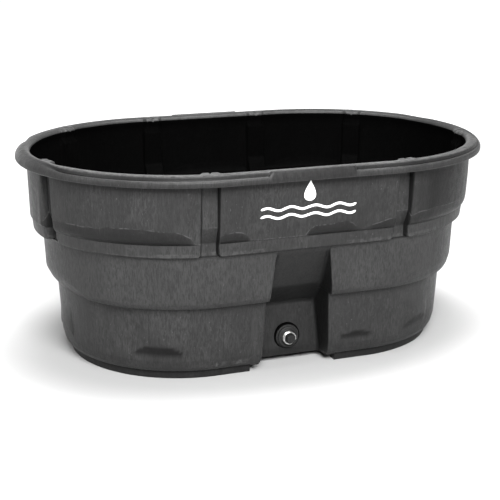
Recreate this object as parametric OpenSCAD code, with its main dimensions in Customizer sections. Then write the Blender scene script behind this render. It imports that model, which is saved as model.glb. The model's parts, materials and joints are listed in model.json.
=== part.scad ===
// Oval livestock water trough: one moulded tank with a rolled rim, stepped
// wall tiers, stiffening ribs and a front drain pocket, plus the screwed
// drain fitting. Millimetres, +Z up, length along X, drain side on -Y,
// origin on the ground under the middle of the tank.

/* [Tank] */
// overall length over the rim
trough_len = 1473; // [1300:1:1800]
// overall width over the rim
trough_w = 991; // [900:1:1100]
// overall height
trough_h = 635; // [600:1:680]
// moulded wall thickness
wall = 6.5; // [5:0.5:9]
// height of the recessed foot under the lowest tier
foot_h = 28; // [22:1:34]
// height of the step between the lower and middle tiers
low_step_z = 232; // [210:1:250]
// height of the step between the middle and upper tiers
mid_step_z = 392; // [370:1:410]
// height of the arris over the chamfer of the upper tier
arris_z = 478; // [460:1:500]
// depth of the rolled rim from its top to its lip
rim_drop = 32; // [28:1:40]

/* [Ribs] */
// width of an outside channel
channel_w = 50; // [40:1:60]
// depth of an outside channel behind the upper tier
channel_d = 17; // [12:1:20]
// angle of the left front rib round the end from the straight side
front_left_a = 6.3; // [3:0.1:12]
// angle of the right front rib round the end from the straight side
front_right_a = 7.9; // [3:0.1:12]
// angle of the left end rib towards the front
left_rib_a = 17; // [5:0.5:25]
// angle of the right end rib towards the front
right_rib_a = 12; // [5:0.5:25]
// angle of the two rear corner ribs
rear_rib_a = 53; // [45:0.5:60]
// distance of the left rear middle rib from the centre
rear_left_x = 200; // [150:1:220]
// distance of the right rear middle rib from the centre
rear_right_x = 176; // [150:1:220]

/* [Rim pads] */
// length of a flat pad on the rim
pad_len = 232; // [180:1:260]
// width of a flat pad across the rim
pad_w = 20; // [14:1:24]

/* [Drain pocket] */
// half width of the pocket at its top
pocket_top = 82; // [70:1:90]
// half width of the pocket at its foot
pocket_foot = 109; // [98:1:120]
// distance of the drain wall from the middle of the tank
drain_wall_y = 303; // [290:1:310]
// height of the drain axis
drain_z = 79.5; // [74:0.5:86]
// half width of the gap in the foot under the pocket
foot_gap = 137; // [120:1:150]

/* [Drain fitting] */
// outside diameter of the drain flange
flange_d = 66; // [60:1:70]
// outside diameter of the threaded barrel through the wall
barrel_d = 48; // [46:1:50]
// outside diameter of the bright threaded ring
ring_d = 39.6; // [38:0.1:41]
// bore of the bright threaded ring
ring_bore = 32.1; // [31:0.1:33]
// width of the square plug head across its flats
plug_sq = 24; // [18:1:26]
// travel of the plug in one turn
plug_pitch = 4; // [2:0.5:5]
// running clearance of the plug in its ring, on radius
run_c = 0.05; // [0.02:0.01:0.1]

/* [Mark] */
// width of the printed water mark
mark_w = 290; // [200:1:320]
// height of the middle of the printed water mark
mark_z = 532; // [525:1:540]

/* [Hidden] */
$fn = 72;
B = trough_w/2;
S = (trough_len - trough_w)/2;
H = trough_h;
zr = H - rim_drop;
t = wall;

// wall profile: [distance inwards from the rim outline, height]
wall_out = [
  [148, 0], [146, foot_h - 2], [133, foot_h + 1], [126, foot_h + 12], [121, foot_h + 32],
  [118, 120], [113.5, 200], [111, low_step_z - 8], [106, low_step_z - 1.5],
  [89, low_step_z], [82, low_step_z + 14], [78.5, low_step_z + 34], [77, 300], [74, 360],
  [72, mid_step_z - 8], [68, mid_step_z - 1.5], [57, mid_step_z],
  [55.5, mid_step_z + 38], [38.5, arris_z - 2], [37.5, arris_z + 4], [34, zr - 4], [34, zr + 20]];
rim = [
  [8, zr + 19], [6.5, zr], [1, zr], [0, zr + 3], [0, zr + 9], [2.5, zr + 18], [8, zr + 24],
  [14, zr + 26], [20, zr + 25], [26, zr + 29], [31, H], [39, H], [44, H - 3], [45.5, H - 9], [43, H - 17]];
wall_in = [
  [34 + t, zr - 4], [37.5 + t, arris_z + 2], [55.5 + t, mid_step_z + 40], [57 + t, mid_step_z + t + 1],
  [72 + t, mid_step_z + t - 3], [74 + t, 360], [77 + t, 300], [80 + t, low_step_z + 36],
  [88 + t, low_step_z + t + 8], [111 + t, low_step_z + t], [113.5 + t, 200], [118 + t, 120],
  [121 + t, foot_h + 34], [127 + t, foot_h + 14], [140 + t, foot_h + 1]];
floor_z = foot_h - 8;
skin = concat(
  [for (p = wall_out) [B - p[0], p[1]]],
  [for (p = rim) [B - p[0], p[1]]],
  [for (p = wall_in) [B - p[0], p[1]]]);
half_skin = concat([[0, floor_z], [B - 178, floor_z], [B - 180, 0]], skin, [[0, floor_z + t]]);
n = len(half_skin);
full_skin = concat(
  [for (i = [1 : n - 2]) half_skin[i]],
  [for (i = [n - 2 : -1 : 1]) [-half_skin[i][0], half_skin[i][1]]]);

// drain pocket, [y, height] of its back wall from the top down
yd = drain_wall_y;
back = [[-424, mid_step_z - 4], [-343, 253], [-284, 181], [2 - yd + 2, 44], [6 - yd, floor_z]];
back_in = [[-418, mid_step_z + t + 1], [-338, 258], [-277, 183], [4 + t - yd, 44], [6 + t - yd, floor_z]];
ps = -yd;             // outer face of the drain boss
boss_in = -yd + 22;   // inner face of the drain boss

module y_cyl(d, y0, y1, x = 0, z = drain_z) {
  translate([x, y0, z]) rotate([-90, 0, 0]) cylinder(d = d, h = y1 - y0);
}

// section polygon [inward distance, height] swept across a rib of width w
module rib_sweep(pts, w) {
  rotate([90, 0, 0]) translate([0, 0, -w/2])
    linear_extrude(height = w) polygon([for (p = pts) [B - p[0], p[1]]]);
}

module at_ribs() {
  for (k = [0 : 7]) {
    cx = [-S, S, -S, S, -S, S, -rear_left_x, rear_right_x][k];
    a = [-90 - front_left_a, -90 + front_right_a, -180 + left_rib_a, -right_rib_a,
         180 - rear_rib_a, rear_rib_a, 90, 90][k];
    translate([cx, 0, 0]) rotate([0, 0, a]) children();
  }
}

rib_pts = [[37, zr], [38.5, arris_z], [56, mid_step_z + 36], [58, mid_step_z + 3],
  [56 + channel_d + t, mid_step_z + 3], [55 + channel_d + t, mid_step_z + 41],
  [37 + channel_d + t, arris_z + 1], [36 + channel_d + t, zr + 6],
  [54, H - 6], [46, H - 2], [36, H - 1.5], [36, zr + 22]];
// the channel runs down through the upper tier and opens onto the middle one
channel_pts = [[-10, zr - 1], [36 + channel_d, zr - 1], [37 + channel_d, arris_z],
  [55 + channel_d, mid_step_z + 38], [56 + channel_d, mid_step_z - 1], [-10, mid_step_z - 1]];

module pocket_block(yz, hw_top, hw_foot, y0, y1) {
  intersection() {
    rotate([90, 0, 90]) translate([0, 0, -150]) linear_extrude(height = 300) polygon(yz);
    translate([0, y1, 0]) rotate([90, 0, 0]) linear_extrude(height = y1 - y0)
      polygon([[-hw_foot, -1], [hw_foot, -1], [hw_foot - 2, 50], [hw_foot - 11, low_step_z],
               [hw_top, mid_step_z], [hw_top - 1, mid_step_z + 30],
               [1 - hw_top, mid_step_z + 30], [-hw_top, mid_step_z],
               [11 - hw_foot, low_step_z], [2 - hw_foot, 50]]);
  }
}

module tank_shell() {
  color([0.20, 0.20, 0.21]) difference() {
    union() {
      difference() {
        union() {
          translate([S, 0, 0]) rotate([0, 0, -90]) rotate_extrude(angle = 180) polygon(half_skin);
          translate([-S, 0, 0]) rotate([0, 0, 90]) rotate_extrude(angle = 180) polygon(half_skin);
          rotate([90, 0, 90]) translate([0, 0, -S]) linear_extrude(height = 2*S) polygon(full_skin);
          at_ribs() rib_sweep(rib_pts, channel_w + 2*t);
          for (s = [-1, 1])
            translate([-pad_len/2, s > 0 ? B - 2 - pad_w : -B + 2, zr + 20])
              cube([pad_len, pad_w, rim_drop - 20]);
        }
        at_ribs() rib_sweep(channel_pts, channel_w);
      }
      // pocket jacket behind the front wall
      pocket_block(concat(back_in, [[-B + 146, floor_z], [-B + 133, foot_h + 1.5], [-B + 118.5, 120],
        [-B + 112, low_step_z - 10], [-B + 90, low_step_z + 1], [-B + 78, 300], [-B + 73, mid_step_z - 6],
        [-B + 59, mid_step_z + 1], [-B + 58.5, mid_step_z + t]]), pocket_top + t, pocket_foot + t, -B, -200);
      // drain boss
      y_cyl(82, ps, boss_in);
    }
    // pocket
    pocket_block(concat(back, [[6 - yd, -1], [-B - 5, -1], [-B - 5, mid_step_z - 4]]),
      pocket_top, pocket_foot, -B - 5, -200);
    // gap in the foot
    translate([-foot_gap, -B + 100, -1]) cube([2*foot_gap, B - 100 - 280, floor_z + 1]);
    // drain hole
    y_cyl(barrel_d + 0.6, ps - 30, boss_in + 30);
  }
}
tank_shell();

// flat printed drop over two wave lines on the front of the upper tier
module wave_row(m, c, line_w) {
  r = c/sin(50);
  h = r*cos(50);
  for (i = [0 : m - 1]) translate([(2*i - m + 1)*c, 0]) mirror([0, i % 2, 0]) intersection() {
    translate([0, -h]) difference() {
      circle(r = r + line_w/2);
      circle(r = r - line_w/2);
    }
    translate([-c*1.3, 0]) square([c*2.6, r]);
  }
}
module water_mark() {
  tilt = atan(3.5/(zr - arris_z - 8));
  y0 = -B + 34 + 3.5*(zr - 4 - mark_z)/(zr - arris_z - 8) - 0.03;
  color([0.92, 0.92, 0.90]) translate([0, y0, mark_z]) rotate([90 + tilt, 0, 0]) linear_extrude(height = 0.4) {
    for (k = [0, 1]) translate([0, -14 - 23*k]) wave_row(8, mark_w/16, 7);
    translate([0, 21]) {
      circle(r = 17);
      polygon([[-15.7, 6.5], [0, 44], [15.7, 6.5]]);
    }
  }
}
water_mark();

// the fitting is stacked along the drain axis; y grows into the tank
g_t = 3;                 // gasket thickness
fl_t = 9;                // flange thickness
y_fl = ps - g_t;         // back of the flange
y_face = y_fl - fl_t;    // front of the flange
y_ring0 = y_face - 12;   // front of the bright ring
y_ring1 = y_fl + 18;     // rear of the bright ring
y_nut0 = boss_in + g_t + 2;
y_nut1 = y_nut0 + 14;
y_end = y_nut1 + 9;      // inner end of the barrel

// rubber ring between the flange and the drain boss
module outer_gasket() {
  color([0.05, 0.05, 0.05]) difference() {
    y_cyl(flange_d + 7, y_fl, ps);
    y_cyl(barrel_d + 0.6, y_fl - 1, ps + 1);
  }
}
outer_gasket();

// flanged barrel through the tank wall
module drain_body() {
  color([0.13, 0.13, 0.14]) difference() {
    union() {
      y_cyl(flange_d, y_face + 2, y_fl);
      translate([0, y_face, drain_z]) rotate([-90, 0, 0]) cylinder(d1 = flange_d - 4, d2 = flange_d, h = 2);
      y_cyl(barrel_d, y_fl, y_end - 1.5);
      translate([0, y_end - 1.5, drain_z]) rotate([-90, 0, 0]) cylinder(d1 = barrel_d, d2 = barrel_d - 3, h = 1.5);
    }
    y_cyl(ring_d, y_face - 1, y_ring1);
    y_cyl(ring_d + 6.5, y_face - 1, y_face + 6);
    y_cyl(ring_bore + 1, y_ring1 - 1, y_end + 1);
    // thread relief rings on the barrel ahead of and behind the nut
    for (k = [0, 1]) difference() {
      y_cyl(barrel_d + 2, y_nut1 + 2 + 3*k, y_nut1 + 3.2 + 3*k);
      y_cyl(barrel_d - 2, y_nut1 + 1 + 3*k, y_nut1 + 5 + 3*k);
    }
  }
}
drain_body();

// bright threaded ring pressed into the barrel
module thread_ring() {
  color([0.82, 0.82, 0.80]) difference() {
    union() {
      y_cyl(ring_d, y_ring0 + 1, y_ring1);
      translate([0, y_ring0, drain_z]) rotate([-90, 0, 0]) cylinder(d1 = ring_d - 2, d2 = ring_d, h = 1);
    }
    y_cyl(ring_bore, y_ring0 - 1, y_ring1 + 1);
    translate([0, y_ring0 - 0.01, drain_z]) rotate([-90, 0, 0]) cylinder(d1 = ring_bore + 3, d2 = ring_bore, h = 1.5);
    // outside grooves of the hose thread
    for (k = [0 : 2]) difference() {
      y_cyl(ring_d + 2, y_ring0 + 3 + 3*k, y_ring0 + 4.4 + 3*k);
      y_cyl(ring_d - 2, y_ring0 + 2 + 3*k, y_ring0 + 6 + 3*k);
    }
  }
}
thread_ring();

module inner_gasket() {
  color([0.05, 0.05, 0.05]) difference() {
    y_cyl(flange_d + 3, boss_in, boss_in + g_t);
    y_cyl(barrel_d + 0.6, boss_in - 1, boss_in + g_t + 1);
  }
}
inner_gasket();

// slip ring between the nut and the inner gasket
module slip_washer() {
  color([0.75, 0.75, 0.72]) difference() {
    y_cyl(flange_d + 4, boss_in + g_t, y_nut0);
    y_cyl(barrel_d + 0.8, boss_in, y_nut0 + 1);
  }
}
slip_washer();

module lock_nut() {
  color([0.13, 0.13, 0.14]) difference() {
    translate([0, y_nut0, drain_z]) rotate([-90, 0, 0]) intersection() {
      linear_extrude(height = y_nut1 - y_nut0) polygon([for (i = [0 : 5]) 38*[cos(60*i), sin(60*i)]]);
      union() {
        cylinder(r1 = 36, r2 = 38.5, h = 2.5);
        translate([0, 0, 2.5]) cylinder(r = 38.5, h = y_nut1 - y_nut0 - 5);
        translate([0, 0, y_nut1 - y_nut0 - 2.5]) cylinder(r1 = 38.5, r2 = 36, h = 2.5);
      }
    }
    y_cyl(barrel_d + 0.1, y_nut0 - 1, y_nut1 + 1);
  }
}
lock_nut();

// square headed plug screwed into the bright ring
shank_d = ring_bore - 2*run_c;
y_pf = y_ring0 + 3;      // front face of the plug behind its head
y_pe = y_pf + 27;        // inner end of the plug
y_og = y_pe - 7;         // middle of the seal groove
og_r = 0.98;             // radius of the seal section
module plug_o_ring() {
  color([0.04, 0.04, 0.04]) translate([0, y_og, drain_z]) rotate([-90, 0, 0])
    rotate_extrude() translate([ring_bore/2 - run_c - og_r, 0]) circle(r = og_r);
}
plug_o_ring();

module drain_plug() {
  color([0.15, 0.15, 0.16]) difference() {
    union() {
      y_cyl(shank_d, y_pf, y_pe - 1.5);
      translate([0, y_pe - 1.5, drain_z]) rotate([-90, 0, 0]) cylinder(d1 = shank_d, d2 = shank_d - 3, h = 1.5);
      translate([0, y_pf + 0.01, drain_z]) rotate([90, 0, 0]) intersection() {
        linear_extrude(height = 17) square(plug_sq, center = true);
        union() {
          cylinder(d = plug_sq*1.3, h = 15);
          translate([0, 0, 15]) cylinder(d1 = plug_sq*1.3, d2 = plug_sq*1.3 - 5, h = 2);
        }
      }
    }
    // seal groove
    difference() {
      y_cyl(shank_d + 2, y_og - og_r - run_c, y_og + og_r + run_c);
      y_cyl(shank_d - 4*og_r - 2*run_c, y_og - 3, y_og + 3);
    }
    // hollow inner end
    y_cyl(shank_d - 10, y_pe - 12, y_pe + 1);
  }
}
drain_plug();
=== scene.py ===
import json
import math

import bpy
import numpy as np
from mathutils import Matrix, Vector

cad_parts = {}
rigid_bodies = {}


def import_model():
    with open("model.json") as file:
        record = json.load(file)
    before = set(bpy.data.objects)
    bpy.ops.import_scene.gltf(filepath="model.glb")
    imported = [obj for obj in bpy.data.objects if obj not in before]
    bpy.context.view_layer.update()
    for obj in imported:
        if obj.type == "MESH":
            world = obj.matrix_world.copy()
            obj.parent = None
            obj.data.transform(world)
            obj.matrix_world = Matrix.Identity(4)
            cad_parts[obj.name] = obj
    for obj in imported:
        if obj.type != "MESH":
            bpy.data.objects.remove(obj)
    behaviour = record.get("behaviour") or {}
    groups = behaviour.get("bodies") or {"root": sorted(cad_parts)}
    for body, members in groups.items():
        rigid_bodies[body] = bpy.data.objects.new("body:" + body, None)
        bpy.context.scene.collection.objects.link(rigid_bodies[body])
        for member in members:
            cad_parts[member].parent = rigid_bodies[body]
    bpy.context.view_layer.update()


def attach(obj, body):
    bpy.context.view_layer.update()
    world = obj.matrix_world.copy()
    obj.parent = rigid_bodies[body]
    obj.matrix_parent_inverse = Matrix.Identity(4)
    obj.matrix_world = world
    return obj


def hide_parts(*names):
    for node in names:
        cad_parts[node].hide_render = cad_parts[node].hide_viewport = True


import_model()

# ---------------------------------------------------------------- dimensions, mm
B = 495.5          # half width over the rim
S = 241.0          # half length of the straight sides
H = 635.0
T = 6.5            # wall
ZR = 603.0         # rim lip
STEP2 = 392.0      # step between upper and middle tiers
STEP1 = 232.0      # step between middle and lower tiers
LOW_LINE = 430.0   # bottom line of the chamfer of the upper tier
CH_W = 50.0        # channel width
R0 = B - 40.0      # reference ring for positions along the wall
DRAIN_Z = 79.5
DRAIN_Y = -303.0
ARC = math.pi * R0
TOTAL = 4 * S + 2 * ARC


def smooth(x):
    x = np.clip(x, 0.0, 1.0)
    return x * x * (3 - 2 * x)


def ring(s):
    """Spine point and outward normal at perimeter position s."""
    s = (np.asarray(s, float) + S) % TOTAL - S
    a = np.where(s < S, -np.pi / 2,
                 np.where(s < S + ARC, -np.pi / 2 + (s - S) / R0,
                          np.where(s < 3 * S + ARC, np.pi / 2, np.pi / 2 + (s - 3 * S - ARC) / R0)))
    cx = np.where(s < S, s, np.where(s < S + ARC, S, np.where(s < 3 * S + ARC, S - (s - S - ARC), -S)))
    return cx, np.cos(a), np.sin(a)


# ribs, by position along the wall
def at_angle(side, deg):
    if side > 0:
        return S + R0 * math.radians(deg + 90)
    return 3 * S + ARC + R0 * math.radians(deg - 90)


RIBS = sorted([
    at_angle(1, -90 + 7.9), at_angle(1, -12), at_angle(1, 53), S + ARC + (S - 176), S + ARC + (S + 200),
    at_angle(-1, 127), at_angle(-1, 197), at_angle(-1, 263.7)])


def near(s, c):
    """Signed distance along the wall from c."""
    return (s - c + TOTAL / 2) % TOTAL - TOTAL / 2


# ---------------------------------------------------------------- columns
def pocket_half(z):
    """Half width of the drain pocket at height z."""
    return np.interp(z, [0, 50, STEP1, STEP2, STEP2 + 30], [109, 107, 98, 82, 81])


BACK_Y = [(0, -301), (20, -301), (30, -302.2), (44, -303), (176, -285.5), (181, -284.2), (186, -287.5), (248, -338.5),
          (253, -342.5), (258, -346), (384, -422.5), (388, -424.5), (395, -424.6)]


def back_y(z):
    return np.interp(z, [p[0] for p in BACK_Y], [p[1] for p in BACK_Y])


PK = 128.0         # the pocket's columns take the wall from -PK to PK
N_FRONT, N_F1, N_SIDE, N_F2, N_BACK = 7, 5, 12, 6, 46

columns = list(np.arange(PK, TOTAL - PK, 10.5))
for c in RIBS:
    c = c % TOTAL
    columns = [v for v in columns if abs(near(v, c)) > CH_W / 2 + 20]
    for o in list(np.linspace(0, 14, 4)) + [17.5, 19.5, 21, 22.2, 23.2, 24.2, 25.2, 26.2, 27.4, 29, 31, 33, 35.5, 38, 41]:
        columns += [c + o, c - o] if o else [c]
for e in (116.0, S + ARC + S - 116.0, S + ARC + S + 116.0, TOTAL - 116.0):
    if PK + 1 < e < TOTAL - PK - 1:
        columns = [v for v in columns if abs(near(v, e)) > 8]
        columns += [e + o for o in (-6, -3, -1.2, 0, 1.2, 3, 6)]
for e in (137.0, TOTAL - 137.0):
    columns = [v for v in columns if abs(near(v, e)) > 3.5]
    columns += [e - 2.0, e - 0.3, e + 0.3, e + 2.0]
columns = sorted(v for v in columns if PK + 1.5 < v < TOTAL - PK - 1.5)
clean = [columns[0]]
for v in columns[1:]:
    if v - clean[-1] > 0.45:
        clean.append(v)
WALL_S = np.array([PK] + clean + [TOTAL - PK])
NW = len(WALL_S)


def pocket_path(yf, yb, hw, open_):
    """Half of the pocket's plan outline at one level, from the middle of its back wall to x = PK.
    yf is the front wall, yb the back wall, hw the half width, and open_ is False above the pocket."""
    if not open_:
        xs = np.concatenate([
            np.linspace(0, hw - 22, N_BACK + 1), np.linspace(hw - 20, hw - 14, N_F2),
            np.linspace(hw - 13, hw - 1, N_SIDE), np.linspace(hw, hw + 6, N_F1), np.linspace(hw + 8, PK, N_FRONT)])
        return xs, np.full(len(xs), yf)
    depth = max(yb - yf, 0.02)
    r2 = min(11.0, depth * 0.45)
    r1 = min(5.0, depth * 0.3)
    draft = depth * 0.06
    xb = hw - draft
    t = np.linspace(0, np.pi / 2, N_F2)
    xs, ys = [np.linspace(0, xb - r2 - 1.0, N_BACK + 1)], [np.full(N_BACK + 1, yb)]
    xs.append(xb - r2 + r2 * np.sin(t)); ys.append(yb - r2 + r2 * np.cos(t))
    k = np.linspace(0, 1, N_SIDE + 2)[1:-1]
    xs.append(xb + draft * k); ys.append(yb - r2 + (yf + r1 - yb + r2) * k)
    t = np.linspace(0, np.pi / 2, N_F1)
    xs.append(hw + r1 - r1 * np.cos(t)); ys.append(yf + r1 - r1 * np.sin(t))
    xs.append(np.linspace(hw + r1 + 3, PK, N_FRONT)); ys.append(np.full(N_FRONT, yf))
    return np.concatenate(xs), np.concatenate(ys)


NP = N_BACK + 1 + N_F2 + N_SIDE + N_F1 + N_FRONT      # half, middle and PK point included

# ---------------------------------------------------------------- shape along the wall
LENS = [(-796, 36), (-721, 38), (-655, 41), (-620, 40), (-578, 47), (-505, 49), (-460, 48), (-418, 43), (-385, 39),
        (-368, 34), (-349, 24), (-338, 10), (-333, 0), (-300, 0), (-266, 20), (-250, 28), (-221, 32), (-197, 28),
        (-177, 14), (-159, 0), (-5, 0), (4, 16), (20, 30), (41, 31), (72, 31), (113, 36), (138, 28), (154, 14),
        (179, 10), (218, 18), (250, 28), (282, 32), (330, 32), (380, 41), (419, 43), (501, 39), (652, 37), (760, 40),
        (836, 30), (890, 34), (960, 44), (1060, 49), (1180, 47), (1270, 42), (1330, 24), (1350, 6), (1400, 4),
        (1430, 22), (1520, 40), (1600, 36), (1680, 20), (1712, 8), (1765, 10), (1800, 30), (1890, 38), (2000, 33),
        (2060, 18), (2086, 4), (2140, 6), (2170, 26), (2270, 40), (2380, 30), (2422, 10), (2475, 12), (2480, 8),
        (2530, 5), (2660, 2), (2800, 2), (2940, 4), (2984, 26), (3030, 36)]
rng = np.random.RandomState(7)
WOB = rng.uniform(-1, 1, (9, 3))


def wobble(s, lo, hi, seed):
    out = np.zeros_like(np.asarray(s, float))
    for i in range(9):
        f = lo + (hi - lo) * (i / 8.0)
        k = max(1, round(TOTAL * f))
        out = out + WOB[i, seed % 3] * np.sin(2 * np.pi * k * np.asarray(s) / TOTAL + i * 1.7 + seed * 2.1)
    return out / 4.0


def lens_height(s):
    s = np.asarray(s, float)
    s = np.where(s > TOTAL - 796, s - TOTAL, s)
    h = np.interp(s, [p[0] for p in LENS], [p[1] for p in LENS])
    return np.maximum(h + np.where(h > 6, 2.2 * wobble(s, 0.004, 0.02, 1), 0), 0.8)


def end_weight(s):
    cx, nx, ny = ring(s)
    return smooth((np.abs(nx) - 0.45) / 0.5)


def rib_mask(s, z, half, soft=3.2, corner=True):
    """1 in the middle of a rib, 0 outside it, with the panel corners rounded where the band ends."""
    m = np.zeros(len(s))
    for c in RIBS:
        w = half
        if corner and z < STEP2 + 13:
            q = min(max(STEP2 + 13 - z, 0.0), 13.0)
            w = half + 13 - math.sqrt(max(169 - q * q, 0.0))
        m = np.maximum(m, smooth((w - np.abs(near(s, c))) / soft + 0.5))
    return m


def bump(s, c, w):
    return np.exp(-(near(s, c) / w) ** 2)


BROWS = ((-458, 86, 112), (196, 52, 98), (470, 70, 106), (1500, 80, 108), (2350, 84, 110), (2900, 70, 106))


def low_dents(s, z):
    """Slight hollows and puffs of the lower tiers, in mm inwards."""
    d = np.zeros(len(s))
    # chamfered eyebrows over the bottom round of the lowest tier
    for c, w, top in BROWS:
        x = near(s, c) / w
        on = np.sqrt(np.clip(1 - x * x, 0, 1))
        arch = 82 + (top - 82) * on
        below = np.clip((z - 80) / np.maximum(arch - 80, 2.0), 0, 1)
        above = np.exp(-(np.maximum(z - arch, 0) / 52.0) ** 2)
        d -= 7.5 * on ** 0.5 * below * above
    d += 1.6 * wobble(s, 0.0008, 0.004, 2) * math.exp(-((z - 150) / 60.0) ** 2)
    # slanted crease of the lower front left panel
    line = -505 + (225 - z) * 0.42
    if z < 226:
        gap = line - near(s, 0)
        d += 0.15 * np.clip(gap, 0, 60) * smooth((230 - gap) / 170.0) * smooth((226 - z) / 14.0) * smooth((z - 66) / 50.0) * (gap < 240)
    return d


def mid_end(s, z):
    """Chamfer at the bottom of the middle tier round the ends."""
    out = np.zeros(len(s))
    for c, w, hgt in ((-900, 190, 46), (830, 190, 44), (1180, 200, 42), (2660, 210, 46)):
        x = near(s, c) / w
        arch = STEP1 + 2 + hgt * np.sqrt(np.clip(1 - x * x, 0, 1))
        out = np.maximum(out, np.clip((arch - z) / 46.0, 0, 1) * 15.0 * (np.abs(x) < 1))
    return out


# ---------------------------------------------------------------- levels of the wall profile
def arc(p0, p1, p2, r, n=4):
    """Points that round the corner p1 with radius about r."""
    p0, p1, p2 = (np.array(v, float) for v in (p0, p1, p2))
    u, v = (p0 - p1), (p2 - p1)
    lu, lv = np.linalg.norm(u), np.linalg.norm(v)
    u, v = u / lu, v / lv
    ang = math.acos(float(np.clip(u @ v, -1, 1)))
    cut = min(r / max(math.tan(ang / 2), 1e-3), lu * 0.45, lv * 0.45)
    a, b = p1 + u * cut, p1 + v * cut
    return [tuple((1 - t) ** 2 * a + 2 * t * (1 - t) * p1 + t * t * b) for t in np.linspace(0, 1, n)]


def rounded(points, radii, n=4, longest=16.0):
    out = [tuple(points[0])]
    for i in range(1, len(points) - 1):
        if radii[i] > 0:
            out += arc(points[i - 1], points[i], points[i + 1], radii[i], n)
        else:
            out.append(tuple(points[i]))
    out.append(tuple(points[-1]))
    full = [out[0]]
    for p in out[1:]:
        q = full[-1]
        n_ = max(1, int(math.ceil(math.hypot(p[0] - q[0], p[1] - q[1]) / longest)))
        full += [(q[0] + (p[0] - q[0]) * k / n_, q[1] + (p[1] - q[1]) * k / n_) for k in range(1, n_ + 1)]
    return full


LOWER = rounded(
    [(178, 20), (180, 0), (147.5, 0), (146, 26), (134, 28.5), (127, 40), (121.5, 62), (118, 120), (113.5, 200),
     (111, STEP1 - 7), (106, STEP1 - 1.5), (89, STEP1), (82, STEP1 + 14), (78.5, STEP1 + 34), (77, 300), (74.5, 360),
     (72, STEP2 - 8), (68, STEP2 - 1.5), (57.5, STEP2), (57, STEP2 + 2.5)],
    [0, 1.5, 2.5, 1.2, 2.0, 10, 22, 20, 10, 5, 2.5, 2.5, 9, 14, 20, 8, 4, 1.6, 1.2, 0], longest=9.0)
INNER_LOWER = rounded(
    [(57 + T + 1, STEP2 + T + 3), (60 + T + 2, STEP2 + T), (71 + T, STEP2 + T - 1.5), (74 + T, STEP2 - 10), (77 + T, 300),
     (80 + T, STEP1 + 36), (89 + T, STEP1 + T + 5), (110 + T, STEP1 + T - 1), (113 + T, 214), (118 + T, 120), (121 + T, 66), (127 + T, 44), (142 + T, 29), (170, 26.5)],
    [0, 2, 5, 6, 20, 12, 5, 5, 6, 20, 20, 12, 12, 0], longest=14.0)
RIM_SIDE = [(34, ZR - 4), (34, ZR + 11), (31, ZR + 13.5), (10, ZR + 13.5), (7, ZR + 11), (6.4, ZR + 1), (5.2, ZR),
            (1.4, ZR), (0.3, ZR + 1.4), (0, ZR + 4), (0, ZR + 8), (0.1, ZR + 11.4), (0.9, ZR + 14.2), (2.6, ZR + 16.6),
            (4.8, ZR + 18.1), (6.9, ZR + 18.6), (8.4, ZR + 18.3), (9.4, ZR + 18.5), (10.2, ZR + 19.9), (10.6, ZR + 22.6),
            (11.0, ZR + 26.6), (12.6, ZR + 29.5), (15.6, ZR + 31.0), (20.4, ZR + 31.5), (28.0, ZR + 31.3),
            (35.6, ZR + 30.3), (41.0, ZR + 28.0), (44.4, ZR + 24.2), (45.5, ZR + 20.0), (45.0, ZR + 15.0), (43.6, ZR + 10.0),
            (42.0, ZR + 5.0), (40.9, ZR - 1)]
RIM_END = [(33, ZR - 4), (33, ZR + 15), (30.5, ZR + 18.5), (10, ZR + 18.5), (7, ZR + 15), (6.4, ZR + 1), (5.2, ZR),
           (2.0, ZR), (0.6, ZR + 1.6), (0, ZR + 4.4), (0.1, ZR + 8.6), (1.2, ZR + 13.2), (3.2, ZR + 17.4), (5.8, ZR + 21.0),
           (8.8, ZR + 24.0), (11.8, ZR + 26.2), (15.0, ZR + 28.1), (18.4, ZR + 29.6), (21.6, ZR + 30.5), (24.6, ZR + 31.1),
           (27.4, ZR + 31.3), (30.0, ZR + 31.2), (32.8, ZR + 30.7), (35.6, ZR + 29.8), (38.4, ZR + 28.3), (40.9, ZR + 26.2),
           (43.0, ZR + 23.6), (44.4, ZR + 20.8), (45.0, ZR + 18.0), (44.6, ZR + 13.4), (43.2, ZR + 9.0), (41.6, ZR + 4.6),
           (40.4, ZR - 1)]


def upper_outer(s, k, mask_half):
    """Outer wall of the upper tier for level parameter k in 0..3: band, chamfer, panel."""
    h = lens_height(s)
    e = end_weight(s)
    wl = smooth((s % TOTAL - 2486) / 70.0) * smooth((2988 - s % TOTAL) / 26.0)
    d0, d1 = 57 - 5 * e - 7 * wl, 55.5 - 8.5 * e - 5.5 * wl
    za = LOW_LINE + h
    da = d1 - (18 - 6 * e) * (h / 48.0) - 1.0 - 3.0 * wl
    top_z, top_d = ZR - 4, 34.0 - 1.0 * e
    puff = 1.6 * smooth(h / 40)
    if k <= 1:
        z = STEP2 + 2.5 + (LOW_LINE - STEP2 - 2.5) * k
        return np.full(len(s), z), d0 + (d1 - d0) * k
    if k <= 2:
        f = k - 1
        u = 1 - f
        hollow = 0.25 * u + 0.75 * u ** 4.5
        return LOW_LINE + (za - LOW_LINE) * f, da + (d1 - da) * hollow
    f = k - 2
    z = za + (top_z - za) * f
    return z, da + (top_d - da) * f - puff * np.sin(np.pi * f) * 0.8


def channel_d(z):
    return np.interp(z, [STEP2 - 6, LOW_LINE - 1.5, LOW_LINE + 1.5, 476, 480, ZR], [73, 72.2, 71.4, 54.4, 53.6, 52.8])


K_UP = ([0, .12, .35, .6, .85, .96] + [1.0, 1.015, 1.04, 1.08, 1.14, 1.22, 1.34, 1.5, 1.7, 1.86, 1.95] + [2.0, 2.02, 2.05, 2.1, 2.18] + list(np.linspace(2.25, 2.97, 14)) + [3.0])

levels = []      # each: dict(kind, z array, d array)


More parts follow.
